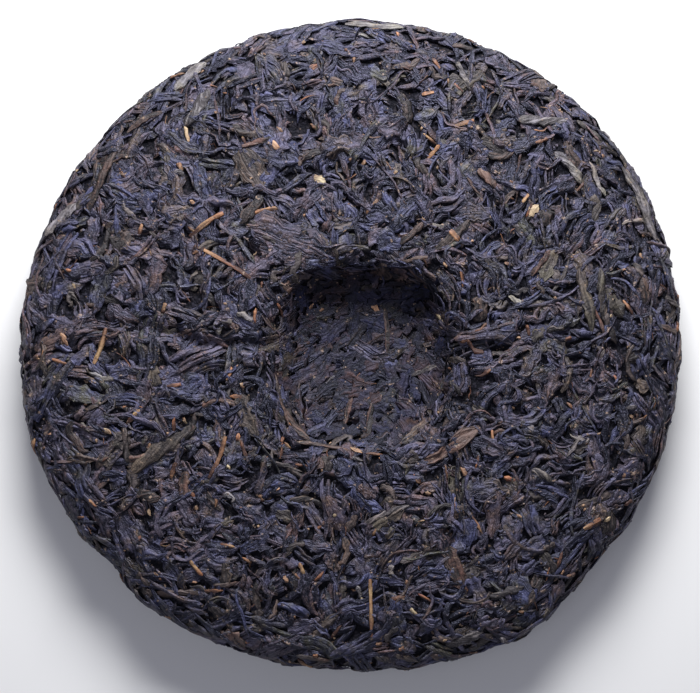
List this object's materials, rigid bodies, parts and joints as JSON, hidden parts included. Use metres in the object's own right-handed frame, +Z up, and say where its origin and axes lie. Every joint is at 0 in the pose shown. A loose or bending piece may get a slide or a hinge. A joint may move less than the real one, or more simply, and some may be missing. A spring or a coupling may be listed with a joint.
{
  "type": "pu erh tea cake",
  "caption": "Round flat disc of pressed dark tea leaf with an uneven rim, visible twisted leaves and stems, and a round dimple pressed into the middle of its upper face.",
  "frame": {"origin": "on the resting plane, under the middle of the disc's bounding box", "axes": "+Z up, out of the dimpled back face; +Y to the side of the dimple's steep wall; +X to the right as seen from above"},
  "size_m": [0.1996, 0.1974, 0.0247],
  "materials": {
    "pressed_tea": "dry blue-black rolled leaf with a faint satin sheen and dark brown patches",
    "brown_leaf": "dry dark brown to olive leaf, satin",
    "tea_stem": "dry orange-brown stem, fine lengthwise grain",
    "golden_bud": "dry golden to pale bud and leaf tip, matt"
  },
  "bodies": {
    "root": {"tea_cake": "pressed_tea"}
  },
  "joints": []
}
